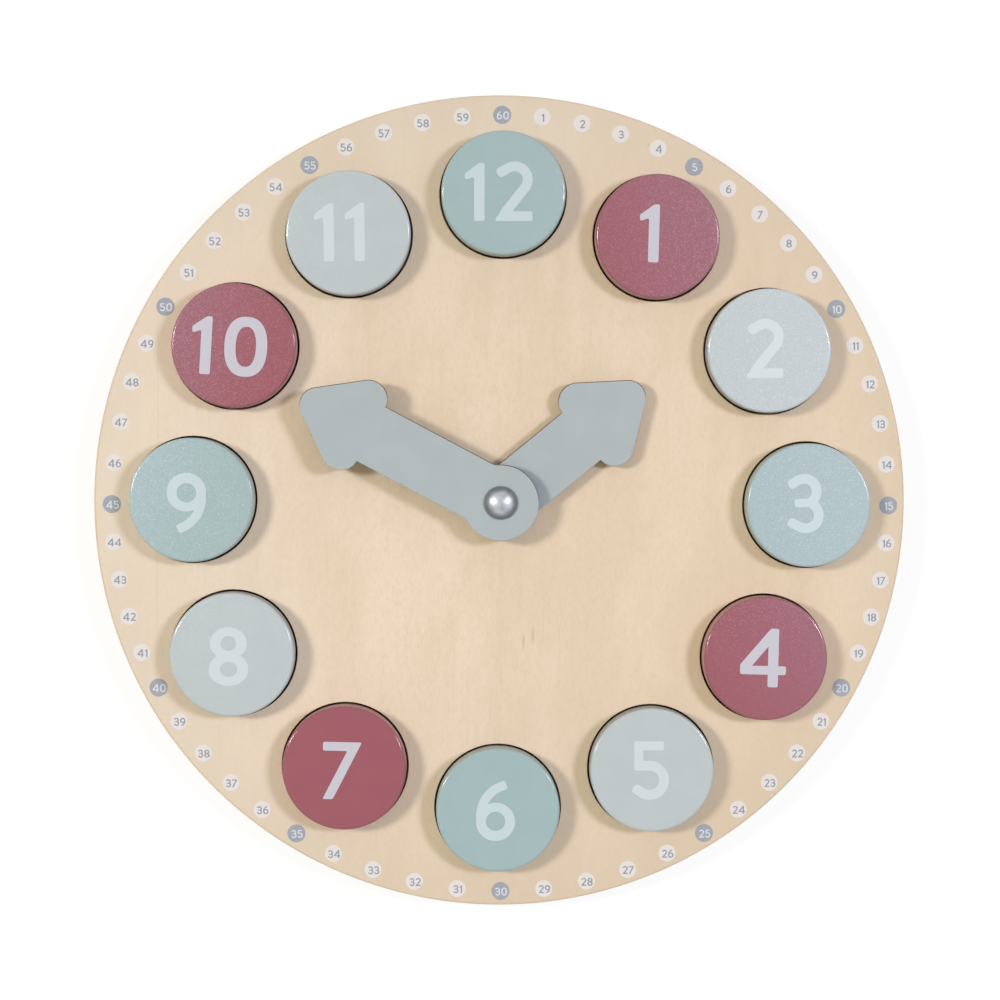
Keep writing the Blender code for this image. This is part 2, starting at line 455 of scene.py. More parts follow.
def back_veneer():
    """Sanded, unlacquered wood of the back board, with a stronger grain."""
    made, tree = new_material("back_veneer")
    tones = colour(226, 203, 172), colour(217, 190, 156), colour(184, 148, 108)
    tone, flecks = veneer_colour(tree, *tones)
    rings = lumps(tree, (0.006, 0.16, 0.02), detail=4, roughness=0.65, turn=radians(-3), shift=12.0)
    tone = tinted(tree, tone, colour(198, 162, 120), rings, 0.5, 0.68, 0.3)
    return surfaced(made, tone, varied(tree, flecks, 0.62, 0.74), flecks, 0.00003)


def ply_edge(name, low, high):
    """Cut edge of plywood: five plies, the pale ones lengthways and the brown ones end-on."""
    made, tree = new_material(name)
    waver = lumps(tree, (0.009, 0.009, 0.01))
    wavy_height = calculate(tree, "MULTIPLY_ADD", waver, ply_waver, own_place(tree)[2])
    level = add(tree, "MapRange", {"Value": wavy_height, "From Min": low, "From Max": high}).outputs[0]
    plies = add(tree, "ValToRGB", {0: level})
    stops = plies.color_ramp.elements
    pale, brown = colour(218, 190, 155), colour(168, 130, 92)
    stops[0].position, stops[0].color = 0.0, pale
    stops[1].position, stops[1].color = 0.2, brown
    for position, tone in ((0.42, pale), (0.64, brown), (0.88, colour(224, 204, 178))):
        stops.new(position).color = tone
    plies.color_ramp.interpolation = "CONSTANT"
    below_veneer = between(tree, level, 0.84, 0.92, 1.0, 0.2)
    fibres = lumps(tree, (0.0007, 0.0007, 0.00012), detail=3, roughness=0.65)
    fibre_share = multiply(tree, between(tree, fibres, 0.45, 0.75, 0.0, 0.45), below_veneer)
    tone = mixed(tree, fibre_share, plies.outputs[0], colour(134, 98, 66))
    toast = lumps(tree, (0.012, 0.012, 0.004), shift=4.0)
    toast_share = multiply(tree, between(tree, toast, 0.4, 0.75, 0.0, 0.35), below_veneer)
    tone = mixed(tree, toast_share, tone, colour(122, 88, 60))
    return surfaced(made, tone, 0.72, fibres, 0.00008)


def charred_wall():
    """Laser-cut wall of a pocket or bore: dark char with brown streaks up the wall."""
    made, tree = new_material("charred_wall")
    streaks = lumps(tree, (0.0006, 0.0006, 0.006), detail=3, roughness=0.6)
    tone = tinted(tree, colour(52, 37, 28), colour(104, 74, 50), streaks, 0.4, 0.72)
    return surfaced(made, tone, 0.88, streaks, 0.0001)


def disc_paint(name, paint, sheen_tone, glint_tone, overspray):
    """Satin paint over the disc's face and its rounded edge, and overspray down its wall."""
    made, tree = new_material(name)
    uneven = lumps(tree, (0.0015, 0.0015, 0.003), detail=3)
    painted = coat_share(tree, uneven, disc_top - 0.75 * disc_edge_round, disc_paint_fade)
    fibres = lumps(tree, (0.0009, 0.0009, 0.004), detail=3, roughness=0.6, shift=2.0)
    wall_coat = tinted(tree, overspray, scaled(overspray, 0.8), fibres, 0.35, 0.7)
    cloud = lumps(tree, (0.007, 0.007, 0.007), shift=5.0)
    coat = tinted(tree, paint, scaled(paint, 1.025), cloud, 0.35, 0.65)
    # Painted sheen: the paint turns paler where the lamps' gloss would lie on it.
    coat = mixed(tree, haze_share(tree), coat, sheen_tone)
    nibs = lumps(tree, (0.00024, 0.00024, 0.0004), roughness=0.6, shift=8.0)
    coarse_glint = coarseness(tree)
    # Painted glints: pale specks on the coarse nibs, standing in for the lamps catching them.
    coat = mixed(tree, multiply(tree, between(tree, nibs, 0.5, 0.74), coarse_glint), coat, glint_tone)
    # Wear on the rounded edge, paled towards the glint tone: partly real wear, partly a painted highlight
    # along the edge.
    wear_and_highlight_noise = lumps(tree, (0.0012, 0.0012, 0.0006), detail=3, shift=9.0)
    band_high, band_low = (disc_top - drop for drop in wear_and_highlight_drop)
    at_edge = between(tree, own_place(tree)[2], band_high, band_low)
    wear_and_highlight = multiply(tree, between(tree, wear_and_highlight_noise, 0.62, 0.74), at_edge)
    coat = mixed(tree, multiply(tree, wear_and_highlight, 0.5), coat, glint_tone)
    peel = lumps(tree, (0.0011, 0.0011, 0.001), shift=6.0)
    gloss = between(tree, facing(tree)[2], *flat_facing, 0.12, varied(tree, peel, 0.36, 0.46))
    roughness = between(tree, painted, 0.0, 1.0, 0.7, gloss)
    skin = calculate(tree, "MULTIPLY_ADD", peel, 0.4, multiply(tree, nibs, coarse_glint))
    return surfaced(made, mixed(tree, painted, wall_coat, coat), roughness, skin, 0.000025)


def ink(name, tone, under, thin=0.1, sheen=0.0):
    """Screen-printed ink through which what is under it shows a little, paler under a painted sheen."""
    made, tree = new_material(name)
    # Painted sheen: the ink turns paler where the lamps' gloss would lie on it.
    tone = mixed(tree, multiply(tree, haze_share(tree), sheen), tone, scaled(tone, 1.085))
    cover = lumps(tree, (0.0005, 0.0005, 0.001), detail=3, roughness=0.6, shift=11.0)
    cloud = lumps(tree, (0.005, 0.005, 0.005), shift=13.0)
    thinness = multiply(tree, varied(tree, cloud, 0.5, 1.0), thin)
    share = multiply(tree, between(tree, cover, 0.4, 0.7), thinness)
    tone = mixed(tree, share, tone, under)
    return surfaced(made, tone, varied(tree, cover, 0.4, 0.5), cover, 0.00001)


def hand_coat(tree):
    """Even satin paint of the hands, with tiny nibs."""
    cloud = lumps(tree, (0.01, 0.01, 0.01))
    tone = tinted(tree, colour(172, 181, 184), colour(175, 184, 187), cloud, 0.35, 0.65)
    nibs = lumps(tree, (0.0003, 0.0003, 0.0003), shift=3.0)
    return tinted(tree, tone, colour(200, 207, 209), nibs, 0.62, 0.8, 0.3), nibs


def hand_paint():
    """Painted flat faces of the hands."""
    made, tree = new_material("hand_paint")
    tone, nibs = hand_coat(tree)
    return surfaced(made, tone, varied(tree, nibs, 0.46, 0.54), nibs, 0.000012)


def hand_edge(name, top):
    """Edge of a hand: paint runs over its round, above laser-cut plies toasted brown.

    On the side towards the hour 12 the round is left unpainted, so that a dark line runs along those edges.
    """
    made, tree = new_material(name)
    height = own_place(tree)[2]
    plies = calculate(tree, "SINE", multiply(tree, height, 2 * pi / hand_ply_pair))
    wood = tinted(tree, colour(122, 94, 66), colour(168, 136, 100), plies, -0.4, 0.4)
    toast = lumps(tree, (0.0007, 0.0007, 0.0015), detail=3, roughness=0.6)
    wood = tinted(tree, wood, colour(84, 60, 42), toast, 0.4, 0.7, 0.6)
    none_at, full_at = (top - drop for drop in hand_char_drop)
    wood = tinted(tree, wood, colour(62, 52, 45), height, none_at, full_at, 0.7)
    paint, nibs = hand_coat(tree)
    uneven = lumps(tree, (0.0012, 0.0012, 0.003), detail=3)
    painted = coat_share(tree, uneven, top - 1.25 * hand_edge_round, hand_paint_fade)
    painted = multiply(tree, painted, between(tree, facing(tree)[1], *dark_line_facing, 1.0, 0.0))
    tone = mixed(tree, painted, wood, paint)
    relief = mixed(tree, painted, toast, multiply(tree, nibs, 0.2))
    return surfaced(made, tone, between(tree, painted, 0.0, 1.0, 0.75, 0.5), relief, 0.00006)


def rivet_steel():
    """Steel dome polished grey in the middle, with a painted reflection: darker round its rim, in place of
    the dark room that it would mirror.
    """
    made, tree = new_material("rivet_steel")
    smudge = lumps(tree, (0.0016, 0.0016, 0.0016))
    tone = tinted(tree, colour(182, 184, 188), colour(158, 160, 165), smudge, 0.35, 0.7)
    head_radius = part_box("pivot_rivet")[1].x
    inner, outer = 0.55 * head_radius, 0.85 * head_radius
    # Painted reflection: the dome darkens from the middle to the rim, standing in for the dark room that it
    # would mirror.
    tone = tinted(tree, tone, colour(104, 106, 107), from_pivot(tree), inner, outer, 0.75)
    scratches = lumps(tree, (0.0003, 0.0016, 0.0016), detail=3, turn=radians(8))
    return surfaced(made, tone, varied(tree, smudge, 0.33, 0.4), scratches, 0.00002, metallic=1.0)


def washer_steel():
    """Zinc-plated steel of the washer in the back board's recess."""
    made, tree = new_material("washer_steel")
    spangle = lumps(tree, (0.0008, 0.0008, 0.0008))
    tone = tinted(tree, colour(190, 193, 198), colour(158, 162, 170), spangle, 0.35, 0.7)
    return surfaced(made, tone, varied(tree, spangle, 0.3, 0.45), spangle, 0.000015, metallic=1.0)


def washer_nylon():
    """Milky nylon of the slip washers."""
    made, tree = new_material("washer_nylon")
    flow = lumps(tree, (0.0015, 0.0015, 0.0008))
    tone = tinted(tree, colour(236, 235, 229), colour(224, 223, 215), flow, 0.35, 0.7)
    return surfaced(made, tone, varied(tree, flow, 0.4, 0.5), flow, 0.00001)


# Outlines


def arc(centre, radius, start, end, steps=arc_steps):
    """Points of an arc from one angle to the other, ends included."""
    angles = [start + (end - start) * step / steps for step in range(steps + 1)]
    return [(centre[0] + radius * cos(angle), centre[1] + radius * sin(angle)) for angle in angles]


def circle(centre, radius, count):
    """Points of a circle, anticlockwise."""
    return arc(centre, radius, 0, 2 * pi, count)[:-1]


def round_outline(radius, count, centre=(0, 0)):
    """A function that gives the circle drawn in by an inset."""
    return lambda inset: circle(centre, radius - inset, count)


def turned_points(points, angle):
    """Points turned anticlockwise round the origin."""
    return [(x * cos(angle) - y * sin(angle), x * sin(angle) + y * cos(angle)) for x, y in points]


def hand_outline(reach, bearing):
    """A function that gives an arrow hand's outline, drawn in by an inset.

    The hub's circle runs through a fillet into the straight stem. Each barb of the head is an
    arc that starts square to the stem's edge, and a straight side, tangent to the barb and to
    the tip, joins the two.
    """
    hub_radius = stem_width / 2 + hub_shoulder
    barb_across = stem_width / 2 + barb_overhang - barb_radius
    barb_along = reach - head_length + barb_radius
    tip_along = reach - tip_radius
    fillet_across = stem_width / 2 + hub_fillet
    fillet_along = sqrt((hub_radius + hub_fillet) ** 2 - fillet_across ** 2)
    fillet_angle = atan2(fillet_along, fillet_across)
    tip_distance = hypot(barb_across, tip_along - barb_along)
    tip_direction = atan2(tip_along - barb_along, -barb_across)
    side_angle = tip_direction - acos((barb_radius - tip_radius) / tip_distance)

    def outline(inset):
        barb = barb_radius - inset
        notch_across = stem_width / 2 - inset - barb_across
        notch_angle = atan2(-sqrt(barb ** 2 - notch_across ** 2), notch_across)
        right = arc((fillet_across, fillet_along), hub_fillet + inset, pi + fillet_angle, pi)
        right += arc((barb_across, barb_along), barb, notch_angle, side_angle)
        left = [(-across, along) for across, along in reversed(right)]
        tip = arc((0, tip_along), tip_radius - inset, side_angle, pi - side_angle)
        hub = arc((0, 0), hub_radius - inset, pi - fillet_angle, 2 * pi + fillet_angle, small_segments)
        return turned_points(right + tip + left + hub[1:-1], -bearing)

    return outline


# Sizes read from the frame


def middle(node):
    """Middle of a CAD node's box, seen from above."""
    low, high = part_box(node)
    return (low.x + high.x) / 2, (low.y + high.y) / 2


def disc_node(hour):
    """Name of an hour's disc, which is also the name of its body."""
    return f"number_disc_{hour:02d}"


def farthest(node):
    """Reach and bearing, clockwise from the hour 12, of a node's farthest point."""
    points = [vertex.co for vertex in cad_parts[node].data.vertices]
    tip = max(points, key=lambda point: hypot(point.x, point.y))
    return hypot(tip.x, tip.y), atan2(tip.x, tip.y)


disc_low, disc_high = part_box(disc_node(hour_count))
disc_top = disc_high.z
disc_radius = (disc_high.x - disc_low.x) / 2
disc_ring_radius = hypot(*middle(disc_node(hour_count)))
pocket_radius = disc_radius + pocket_clearance
recess_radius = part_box("rear_washer")[1].x + recess_clearance
bore_radius = min(hypot(vertex.co.x, vertex.co.y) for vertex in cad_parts["hour_hand"].data.vertices)
bore = ((0, 0), bore_radius, small_segments)

# One pixel of the photograph at the dial's face, and at the discs' faces, which are nearer
board_radius, _, board_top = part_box("face_board")[1]
board_pixel = board_radius / board_radius_pixels
disc_pixel = board_pixel * (camera_distance - disc_top + board_top) / camera_distance


def board_point(right, down):
    """The point of the dial's face under a pixel of the photograph."""
    across = (right - image_size / 2) * board_pixel + camera_aim[0]
    along = (image_size / 2 - down) * board_pixel + camera_aim[1]
    return turned_points([(across, along)], camera_turn)[0]


# Meshes


def ring(shape, points, height):
    """Add one closed ring of vertices at a height."""
    return [shape.verts.new((x, y, height)) for x, y in points]


def wall(shape, lower, upper, finish):
    """Join two rings with a band of faces."""
    for index in range(len(lower)):
        face = shape.faces.new((lower[index - 1], lower[index], upper[index], upper[index - 1]))
        face.material_index = finish


def cap(shape, rings, finish):
    """Fill the flat region between an outer ring and the holes in it."""
    edges = []
    for vertices in rings:
        edges += [shape.edges.get((vertices[i - 1], vertices[i])) for i in range(len(vertices))]
    filled = bmesh.ops.triangle_fill(shape, use_beauty=True, use_dissolve=False, edges=edges)
    for item in filled["geom"]:
        if isinstance(item, bmesh.types.BMFace):
            item.material_index = finish


def edge_levels(low, high, edge_round, steps):
    """Insets and heights up a plate's edge, from the strip of its lower face to that of its upper one."""
    angles = [pi / 2 * step / steps for step in range(steps + 1)]
    foot = [(edge_round + flat_strip, 0)]
    foot += [(edge_round * (1 - sin(angle)), edge_round * (1 - cos(angle))) for angle in angles]
    return [(inset, low + rise) for inset, rise in foot] + [
        (inset, high - rise) for inset, rise in reversed(foot)
    ]


def edge_walls(shape, rings, finish):
    """Bands up a plate's edge; the first and the last one belong to the flat faces."""
    for index, (lower, upper) in enumerate(zip(rings, rings[1:])):
        wall(shape, lower, upper, finish if 0 < index < len(rings) - 2 else 0)


def linked(name, data):
    """A new object, put into the scene."""
    made = bpy.data.objects.new(name, data)
    bpy.context.scene.collection.objects.link(made)
    return made


def new_piece(name, shape, finishes):
    """Turn a shape into a smooth-shaded object with its materials."""
    bmesh.ops.recalc_face_normals(shape, faces=shape.faces)
    mesh = bpy.data.meshes.new(name)
    shape.to_mesh(mesh)
    shape.free()
    mesh.shade_smooth()
    mesh.set_sharp_from_angle(angle=smooth_angle)
    for finish in finishes:
        mesh.materials.append(finish)
    return linked(name, mesh)


def plate(
    name, outline, heights, edge_round, finishes, holes=(), mouth_round=bore_mouth_round, steps=rim_steps
):
    """A flat piece between two heights, rounded at its rim and eased at its round holes.

    The finishes are those of the flat faces, of the rim and of the holes' walls.
    """
    shape = bmesh.new()
    rims = [ring(shape, outline(inset), z) for inset, z in edge_levels(*heights, edge_round, steps)]
    edge_walls(shape, rims, 1)
    low_rings, high_rings = [rims[0]], [rims[-1]]
    for centre, radius, count in holes:
        levels = edge_levels(*heights, mouth_round, mouth_steps)
        mouths = [ring(shape, circle(centre, radius + inset, count), z) for inset, z in levels]
        edge_walls(shape, mouths, 2)
        low_rings.append(mouths[0])
        high_rings.append(mouths[-1])
    cap(shape, low_rings, 0)
    cap(shape, high_rings, 0)
    return new_piece(name, shape, finishes)


def attach(piece, body, node=None):
    """Let a piece ride on its body and stand for its CAD node, which is hidden."""
    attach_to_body(piece, body)
    if node:
        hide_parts(node)


# Boards, discs, hands and pivot


def make_boards():
    """The dial's face panel and the back panel, glued together."""
    low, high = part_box("face_board")
    back_low, back_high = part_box("back_board")
    char = charred_wall()
    outline = round_outline(high.x, board_segments)
    holes = [bore]
    for hour in range(1, hour_count + 1):
        holes.append((middle(disc_node(hour)), pocket_radius, round_segments))
    face_finishes = (face_veneer(), ply_edge("face_panel_edge", low.z, high.z), char)
    face = plate(
        "face_panel", outline, (low.z, high.z), board_edge_round, face_finishes, holes, pocket_mouth_round
    )
    attach(face, "board", "face_board")
    recess = [((0, 0), recess_radius, small_segments)]
    back_finishes = (back_veneer(), ply_edge("back_panel_edge", back_low.z, back_high.z), char)
    back_heights = (back_low.z, low.z - glue_line)
    back = plate("back_panel", outline, back_heights, board_edge_round, back_finishes, recess)
    attach(back, "board", "back_board")


def make_discs():
    """Twelve number discs, in three paints that take turns round the dial."""
    # Each paint: its slot, its own tone, its paler tone under a painted sheen, the pale tone of its painted
    # glints and edge highlight, and its overspray.
    coats = (
        ("disc_teal", (160, 182, 184), (172, 191, 197), (226, 236, 239), (180, 186, 180)),
        ("disc_red", (152, 82, 93), (155, 100, 116), (214, 180, 192), (184, 142, 138)),
        ("disc_grey", (188, 196, 199), (196, 204, 209), (238, 243, 246), (172, 172, 171)),
    )
    paints = [(slot, disc_paint(f"{slot}_paint", *starmap(colour, tones))) for slot, *tones in coats]
    for hour in range(1, hour_count + 1):
        node = disc_node(hour)
        low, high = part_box(node)
        slot, paint = paints[hour % len(paints)]
        outline = round_outline(disc_radius, round_segments, middle(node))
        disc = plate(f"disc_{hour:02d}", outline, (low.z, high.z), disc_edge_round, (paint, paint))
        attach(disc, node, node)


def make_hands():
    """The hour hand, and the minute hand above it."""
    paint = hand_paint()
    for node, name in (("hour_hand", "hour_arrow"), ("minute_hand", "minute_arrow")):
        low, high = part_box(node)
        edge = hand_edge(f"{name}_edge", high.z)
        finishes = (paint, edge, edge)
        outline = hand_outline(*farthest(node))
        heights = (low.z, high.z)
        arrow = plate(name, outline, heights, hand_edge_round, finishes, [bore], steps=hand_edge_steps)
        attach(arrow, node, node)


def make_washers():
    """Slip washers under the hands and the steel washer behind the face panel."""
    nylon, steel = washer_nylon(), washer_steel()
    for node, finish, slot in (
        ("board_washer", nylon, "slip_washer"),
        ("hand_washer", nylon, "slip_washer"),
        ("rear_washer", steel, "rivet_metal"),
    ):
        low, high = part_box(node)
        name, heights = f"{node}_disc", (low.z, high.z)
        outline = round_outline(high.x, small_segments)
        finishes = (finish, finish, finish)
        washer = plate(name, outline, heights, washer_edge_round, finishes, [bore], steps=washer_edge_steps)
        attach(washer, "board", node)


def rivet_profile():
    """Radius and height up the rivet: peened tail, shank and domed head with a soft lip."""
    low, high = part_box("pivot_rivet")
    head_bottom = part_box("minute_hand")[1].z + seat_gap
    head_radius = high.x
    head_height = high.z - head_bottom
    sphere_radius = (head_radius ** 2 + head_height ** 2) / (2 * head_height)
    head_angle = acos((sphere_radius - head_height) / sphere_radius)
    tail_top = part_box("rear_washer")[0].z - seat_gap
    tail_height = tail_top - low.z
    turns = [pi / 2 * step / dome_steps for step in range(dome_steps + 1)]
    tail = [(tail_radius * sin(turn), tail_top - tail_height * cos(turn)) for turn in turns]
    shank = [(shank_radius, tail_top), (shank_radius, head_bottom)]
    lip = [(head_radius - lip_round, head_bottom), (head_radius, head_bottom + lip_round / 2)]
    leans = [head_angle * (1 - step / dome_steps) for step in range(1, dome_steps + 1)]
    dome = [(sphere_radius * sin(lean), high.z - sphere_radius * (1 - cos(lean))) for lean in leans]
    return tail + shank + lip + dome


def make_rivet():
    """The rivet, turned round the pivot's axis."""
    shape = bmesh.new()
    points = [shape.verts.new((radius, 0, height)) for radius, height in rivet_profile()]
    edges = [shape.edges.new(pair) for pair in zip(points, points[1:])]
    bmesh.ops.spin(
        shape, geom=points + edges, cent=(0, 0, 0), axis=(0, 0, 1), angle=2 * pi,
        steps=small_segments, use_merge=True,
    )
    bmesh.ops.remove_doubles(shape, verts=shape.verts, dist=merge_distance)
    attach(new_piece("domed_rivet", shape, (rivet_steel(),)), "board", "pivot_rivet")


# Digits: outlines one unit high, standing on y = 0


def oval(centre, radius_x, radius_y, squareness=2.0):
    """Points of an ellipse, or of a squarer oval above 2."""
    points = []
    for x, y in circle((0, 0), 1, small_segments):
        across = copysign(abs(x) ** (2 / squareness), x)
        along = copysign(abs(y) ** (2 / squareness), y)
        points.append((centre[0] + radius_x * across, centre[1] + radius_y * along))
    return points


def ribbon(path, width, end_share=stroke_end_share):
    """Outline of a stroke of even width along a path, its ends rounded by a share of its width."""
    left, right = [], []
    for index, (x, y) in enumerate(path):
        before = path[max(index - 1, 0)]
        after = path[min(index + 1, len(path) - 1)]
        along = Vector((after[0] - before[0], after[1] - before[1])).normalized() * width / 2
        left.append((x - along.y, y + along.x))
        right.append((x + along.y, y - along.x))
    return eased(left + right[::-1], end_share * width)


def eased(points, corner_reach=corner_round):
    """The outline with its sharp corners rounded a little."""
    result = []
    for index, corner in enumerate(points):
        corner = Vector(corner)
        back = Vector(points[index - 1]) - corner
        on = Vector(points[(index + 1) % len(points)]) - corner
        if back.angle(on) > pi - smooth_angle:
            result.append(tuple(corner))
            continue
        reach = min(corner_reach, longest_corner_share * min(back.length, on.length))
        start = corner + back.normalized() * reach
        end = corner + on.normalized() * reach
        for step in range(corner_steps + 1):
            share = step / corner_steps
            result.append(tuple(start.lerp(corner, share).lerp(corner.lerp(end, share), share)))
    return result


def box_outline(left, right, low, high):
    """A rectangle with eased corners."""
    return eased([(left, low), (right, low), (right, high), (left, high)])


def bowl(centre, radius, start, end):
    """A stroke's path round part of a circle, clockwise.

    Each of its ends is an angle, or a point outside from which a line touches the circle.
    """
    outside, angles = [], []
    for place, side in ((start, -1), (end, 1)):
        if isinstance(place, tuple):
            x, y = place[0] - centre[0], place[1] - centre[1]
            outside.append([place])
            angles.append(atan2(y, x) + side * acos(radius / hypot(x, y)))
        else:
            outside.append([])
            angles.append(place)
    return outside[0] + arc(centre, radius, *angles) + outside[1]


def digit_zero(stroke):
    """An upright, slightly square oval ring."""
    half_width, half_height, squareness = 0.362, 0.507, 2.35
    centre = (half_width, 0.5)
    outer = oval(centre, half_width, half_height, squareness)
    inner = oval(centre, half_width - 1.06 * stroke, half_height - 0.94 * stroke, squareness)
    return [(outer, inner)]


def digit_one(stroke):
    """A stem with a flag."""
    high = 0.98
    flag = [(stroke / 2, high), (-0.16, 0.795), (-0.148, 0.69), (0, 0.745)]
    return [eased([(0, 0), (stroke, 0), (stroke, high), *flag])]


def digit_two(stroke):
    """A hooked stem over a flat foot."""
    width = 0.93 * stroke
    centre, radius = (0.326, 0.7), 0.304 - width / 2
    stem = ribbon(bowl(centre, radius, (0.036, 0.79), (0.115, 0.08)), width)
    high = 0.91 * stroke
    return [stem, eased([(0, 0), (0.627, 0), (0.627, high), (0.1, high), (0, 0.05)])]


def digit_three(stroke):
    """Two bowls, joined by a short bar."""
    width = 0.92 * stroke
    upper = bowl((0.2895, 0.706), 0.297 - width / 2, (0.024, 0.8), radians(-60))
    lower = bowl((0.3185, 0.3), 0.305 - width / 2, radians(60), (0.022, 0.2))
    half = 0.4 * stroke
    bar = box_outline(0.13, 0.42, 0.5075 - half, 0.5075 + half)
    return [ribbon(upper, width), ribbon(lower, width), bar]


def digit_four(stroke):
    """A slant and a stem, crossed by a bar."""
    slope = 0.62 / 0.511
    inner = 1.11 * stroke
    slant = [
        (0.478, 0.38 + 0.478 * slope), (0.014, 0.38 + 0.014 * slope), (0, 0.372), (0, 0.3), (inner, 0.3),
        (inner, 0.36), (0.6, 0.36 + (0.6 - inner) * slope),
    ]
    left, right = 0.65 - 0.977 * stroke, 0.65
    stem = eased([(left, 0), (right, 0), (right, 1), (0.511, 1), (left, 1 - (0.511 - left) * slope)])
    bar_low = 0.285 - 0.4 * stroke
    return [slant, stem, box_outline(0, 0.783, bar_low, bar_low + 0.82 * stroke)]


def digit_five(stroke):
    """A flat top, a short stem and a bowl."""
    width = 0.94 * stroke
    centre, radius = (0.303, 0.334), 0.334 - width / 2
    loop = ribbon(bowl(centre, radius, (0.04, centre[1] + radius), (0.026, 0.214)), width)
    stem = box_outline(0.04, 0.04 + 0.87 * stroke, 0.505, 1)
    return [loop, stem, box_outline(0.04, 0.55, 1 - 0.86 * stroke, 1)]


def digit_six(stroke, tail_end=(0.515, 0.966)):
    """A round bowl with a curved tail that runs out straight."""
    hole = circle((0.33, 0.337), 0.334 - 0.944 * stroke, small_segments)
    tail = [(0.076, 0.33), *arc((0.616, 0.427), 0.54, pi, radians(112)), tail_end]
    width = 0.86 * stroke
    return [(oval((0.33, 0.327), 0.334, 0.327), hole), ribbon(tail, width, corner_round / width)]


def digit_seven(stroke):
    """A bar with a slanting stem."""
    high = 0.975
    bar_low = high - 0.83 * stroke
    slant_left = 0.66 - 1.36 * stroke
    foot_right = 0.01 + 0.97 * stroke
    corners = [(0, high), (0, bar_low), (slant_left, bar_low), (0.01, 0), (foot_right, 0), (0.66, high)]
    return [eased(corners)]


def digit_eight(stroke):
    """Two rings, one on the other."""
    upper, lower = (0.345, 0.723), (0.345, 0.283)
    upper_hole = oval(upper, 0.315 - 1.04 * stroke, 0.277 - 0.83 * stroke)
    lower_hole = oval(lower, 0.339 - 1.07 * stroke, 0.283 - 0.86 * stroke)
    return [(oval(upper, 0.315, 0.277), upper_hole), (oval(lower, 0.339, 0.283), lower_hole)]


def turned_over(part, width=0.66):
    """A part of the six, turned half round into its place in the nine."""
    if isinstance(part, tuple):
        return tuple(turned_over(outline) for outline in part)
    return [(width - x, 1 - y) for x, y in part]


def digit_nine(stroke):
    """The six with a shorter tail, turned half round."""
    return [turned_over(part) for part in digit_six(stroke, (0.479, 0.961))]


digit_parts = (
    digit_zero, digit_one, digit_two, digit_three, digit_four,
    digit_five, digit_six, digit_seven, digit_eight, digit_nine,
)


def prism(part):
    """A solid one unit thick from an outline, or from an outline and its hole."""
    outer, *holes = part if isinstance(part, tuple) else (part,)
    shape = bmesh.new()
    lows, highs = [], []
    for outline in (outer, *holes):
        lows.append(ring(shape, outline, 0))
        highs.append(ring(shape, outline, 1))
        wall(shape, lows[-1], highs[-1], 0)
    cap(shape, lows, 0)
    cap(shape, highs, 0)
    return new_piece("digit_part", shape, ())


def united(parts):
    """One mesh from the overlapping prisms of a digit."""
    solids = [prism(part) for part in parts]
    for other in solids[1:]:
        union = solids[0].modifiers.new("union", "BOOLEAN")
        union.operation = "UNION"
        union.object = other
    graph = bpy.context.evaluated_depsgraph_get()
    mesh = bpy.data.meshes.new_from_object(solids[0].evaluated_get(graph))
    for solid in solids:
        bpy.data.objects.remove(solid, do_unlink=True)
    return mesh


def make_digits(stroke):
    """The ten digits of one weight."""
    return [united(parts(stroke)) for parts in digit_parts]


def number_layout(number, digits, gap):
    """The meshes of a number's digits and their shifts, centred on the origin."""
    meshes = [digits[int(sign)] for sign in str(number)]
    shifts, pen = [], 0
    for mesh in meshes:
        across = [vertex.co.x for vertex in mesh.vertices]
        shifts.append(pen - min(across))
        pen += max(across) - min(across) + gap
    width = pen - gap
    return [(mesh, Matrix.Translation((shift - width / 2, -0.5, 0))) for mesh, shift in zip(meshes, shifts)]


def stamped(layout, place):
    """A number's digits, laid out at the place where the number goes."""
    return [(mesh, place @ spot) for mesh, spot in layout]


def printed(name, stamps, finish):
    """One thin printed piece from meshes and the places they are stamped at."""
    shape = bmesh.new()
    for mesh, place in stamps:
        before = len(shape.verts)
        shape.from_mesh(mesh)
        shape.verts.ensure_lookup_table()
        bmesh.ops.transform(shape, matrix=place, verts=shape.verts[before:])
    return new_piece(name, shape, (finish,))


def stamp_place(point, height, thickness, size, turn=0.0):
    """Where a unit shape goes: its middle, its lower face, its thickness, size and turn."""
    scale = Matrix.Diagonal((size, size, thickness, 1))
    return Matrix.Translation((*point, height)) @ Matrix.Rotation(turn, 4, "Z") @ scale


def make_numerals(digits):
    """The numeral printed on each disc."""
    inks = (
        ink("numeral_on_teal", colour(200, 215, 221), colour(172, 192, 196), sheen=1.0),
        ink("numeral_on_red", colour(203, 200, 211), colour(176, 122, 136), sheen=0.5),
        ink("numeral_on_grey", colour(210, 218, 223), colour(196, 204, 208), sheen=1.0),
    )
    size = numeral_height_pixels * disc_pixel
    for hour, (right, down) in numeral_shift_pixels.items():
        centre = middle(disc_node(hour))
        shift = turned_points([(right * disc_pixel, -down * disc_pixel)], camera_turn)[0]
        point = (centre[0] + shift[0], centre[1] + shift[1])
        turn = camera_turn - radians(numeral_tilt_degrees.get(hour, 0))
        place = stamp_place(point, disc_top, numeral_thickness, size, turn)
        layout = number_layout(hour, digits, wide_gap.get(hour, numeral_gap))
        numeral = printed(f"numeral_{hour:02d}", stamped(layout, place), inks[hour % len(inks)])
        attach(numeral, disc_node(hour))


def minute_point(minute):
    """Middle of a minute's printed dot. The print strays along the ring, most in its lower half."""
    bearing = 2 * pi * minute / minute_count
    stray = minute_stray_upper if cos(bearing) > 0 else minute_stray_lower
    bearing += minute_ring_turn + stray * sin(2 * bearing)
    across = minute_ring_radius * sin(bearing) + minute_ring_shift[0]
    along = minute_ring_radius * cos(bearing) + minute_ring_shift[1]
    return turned_points([(across, along)], camera_turn)[0]


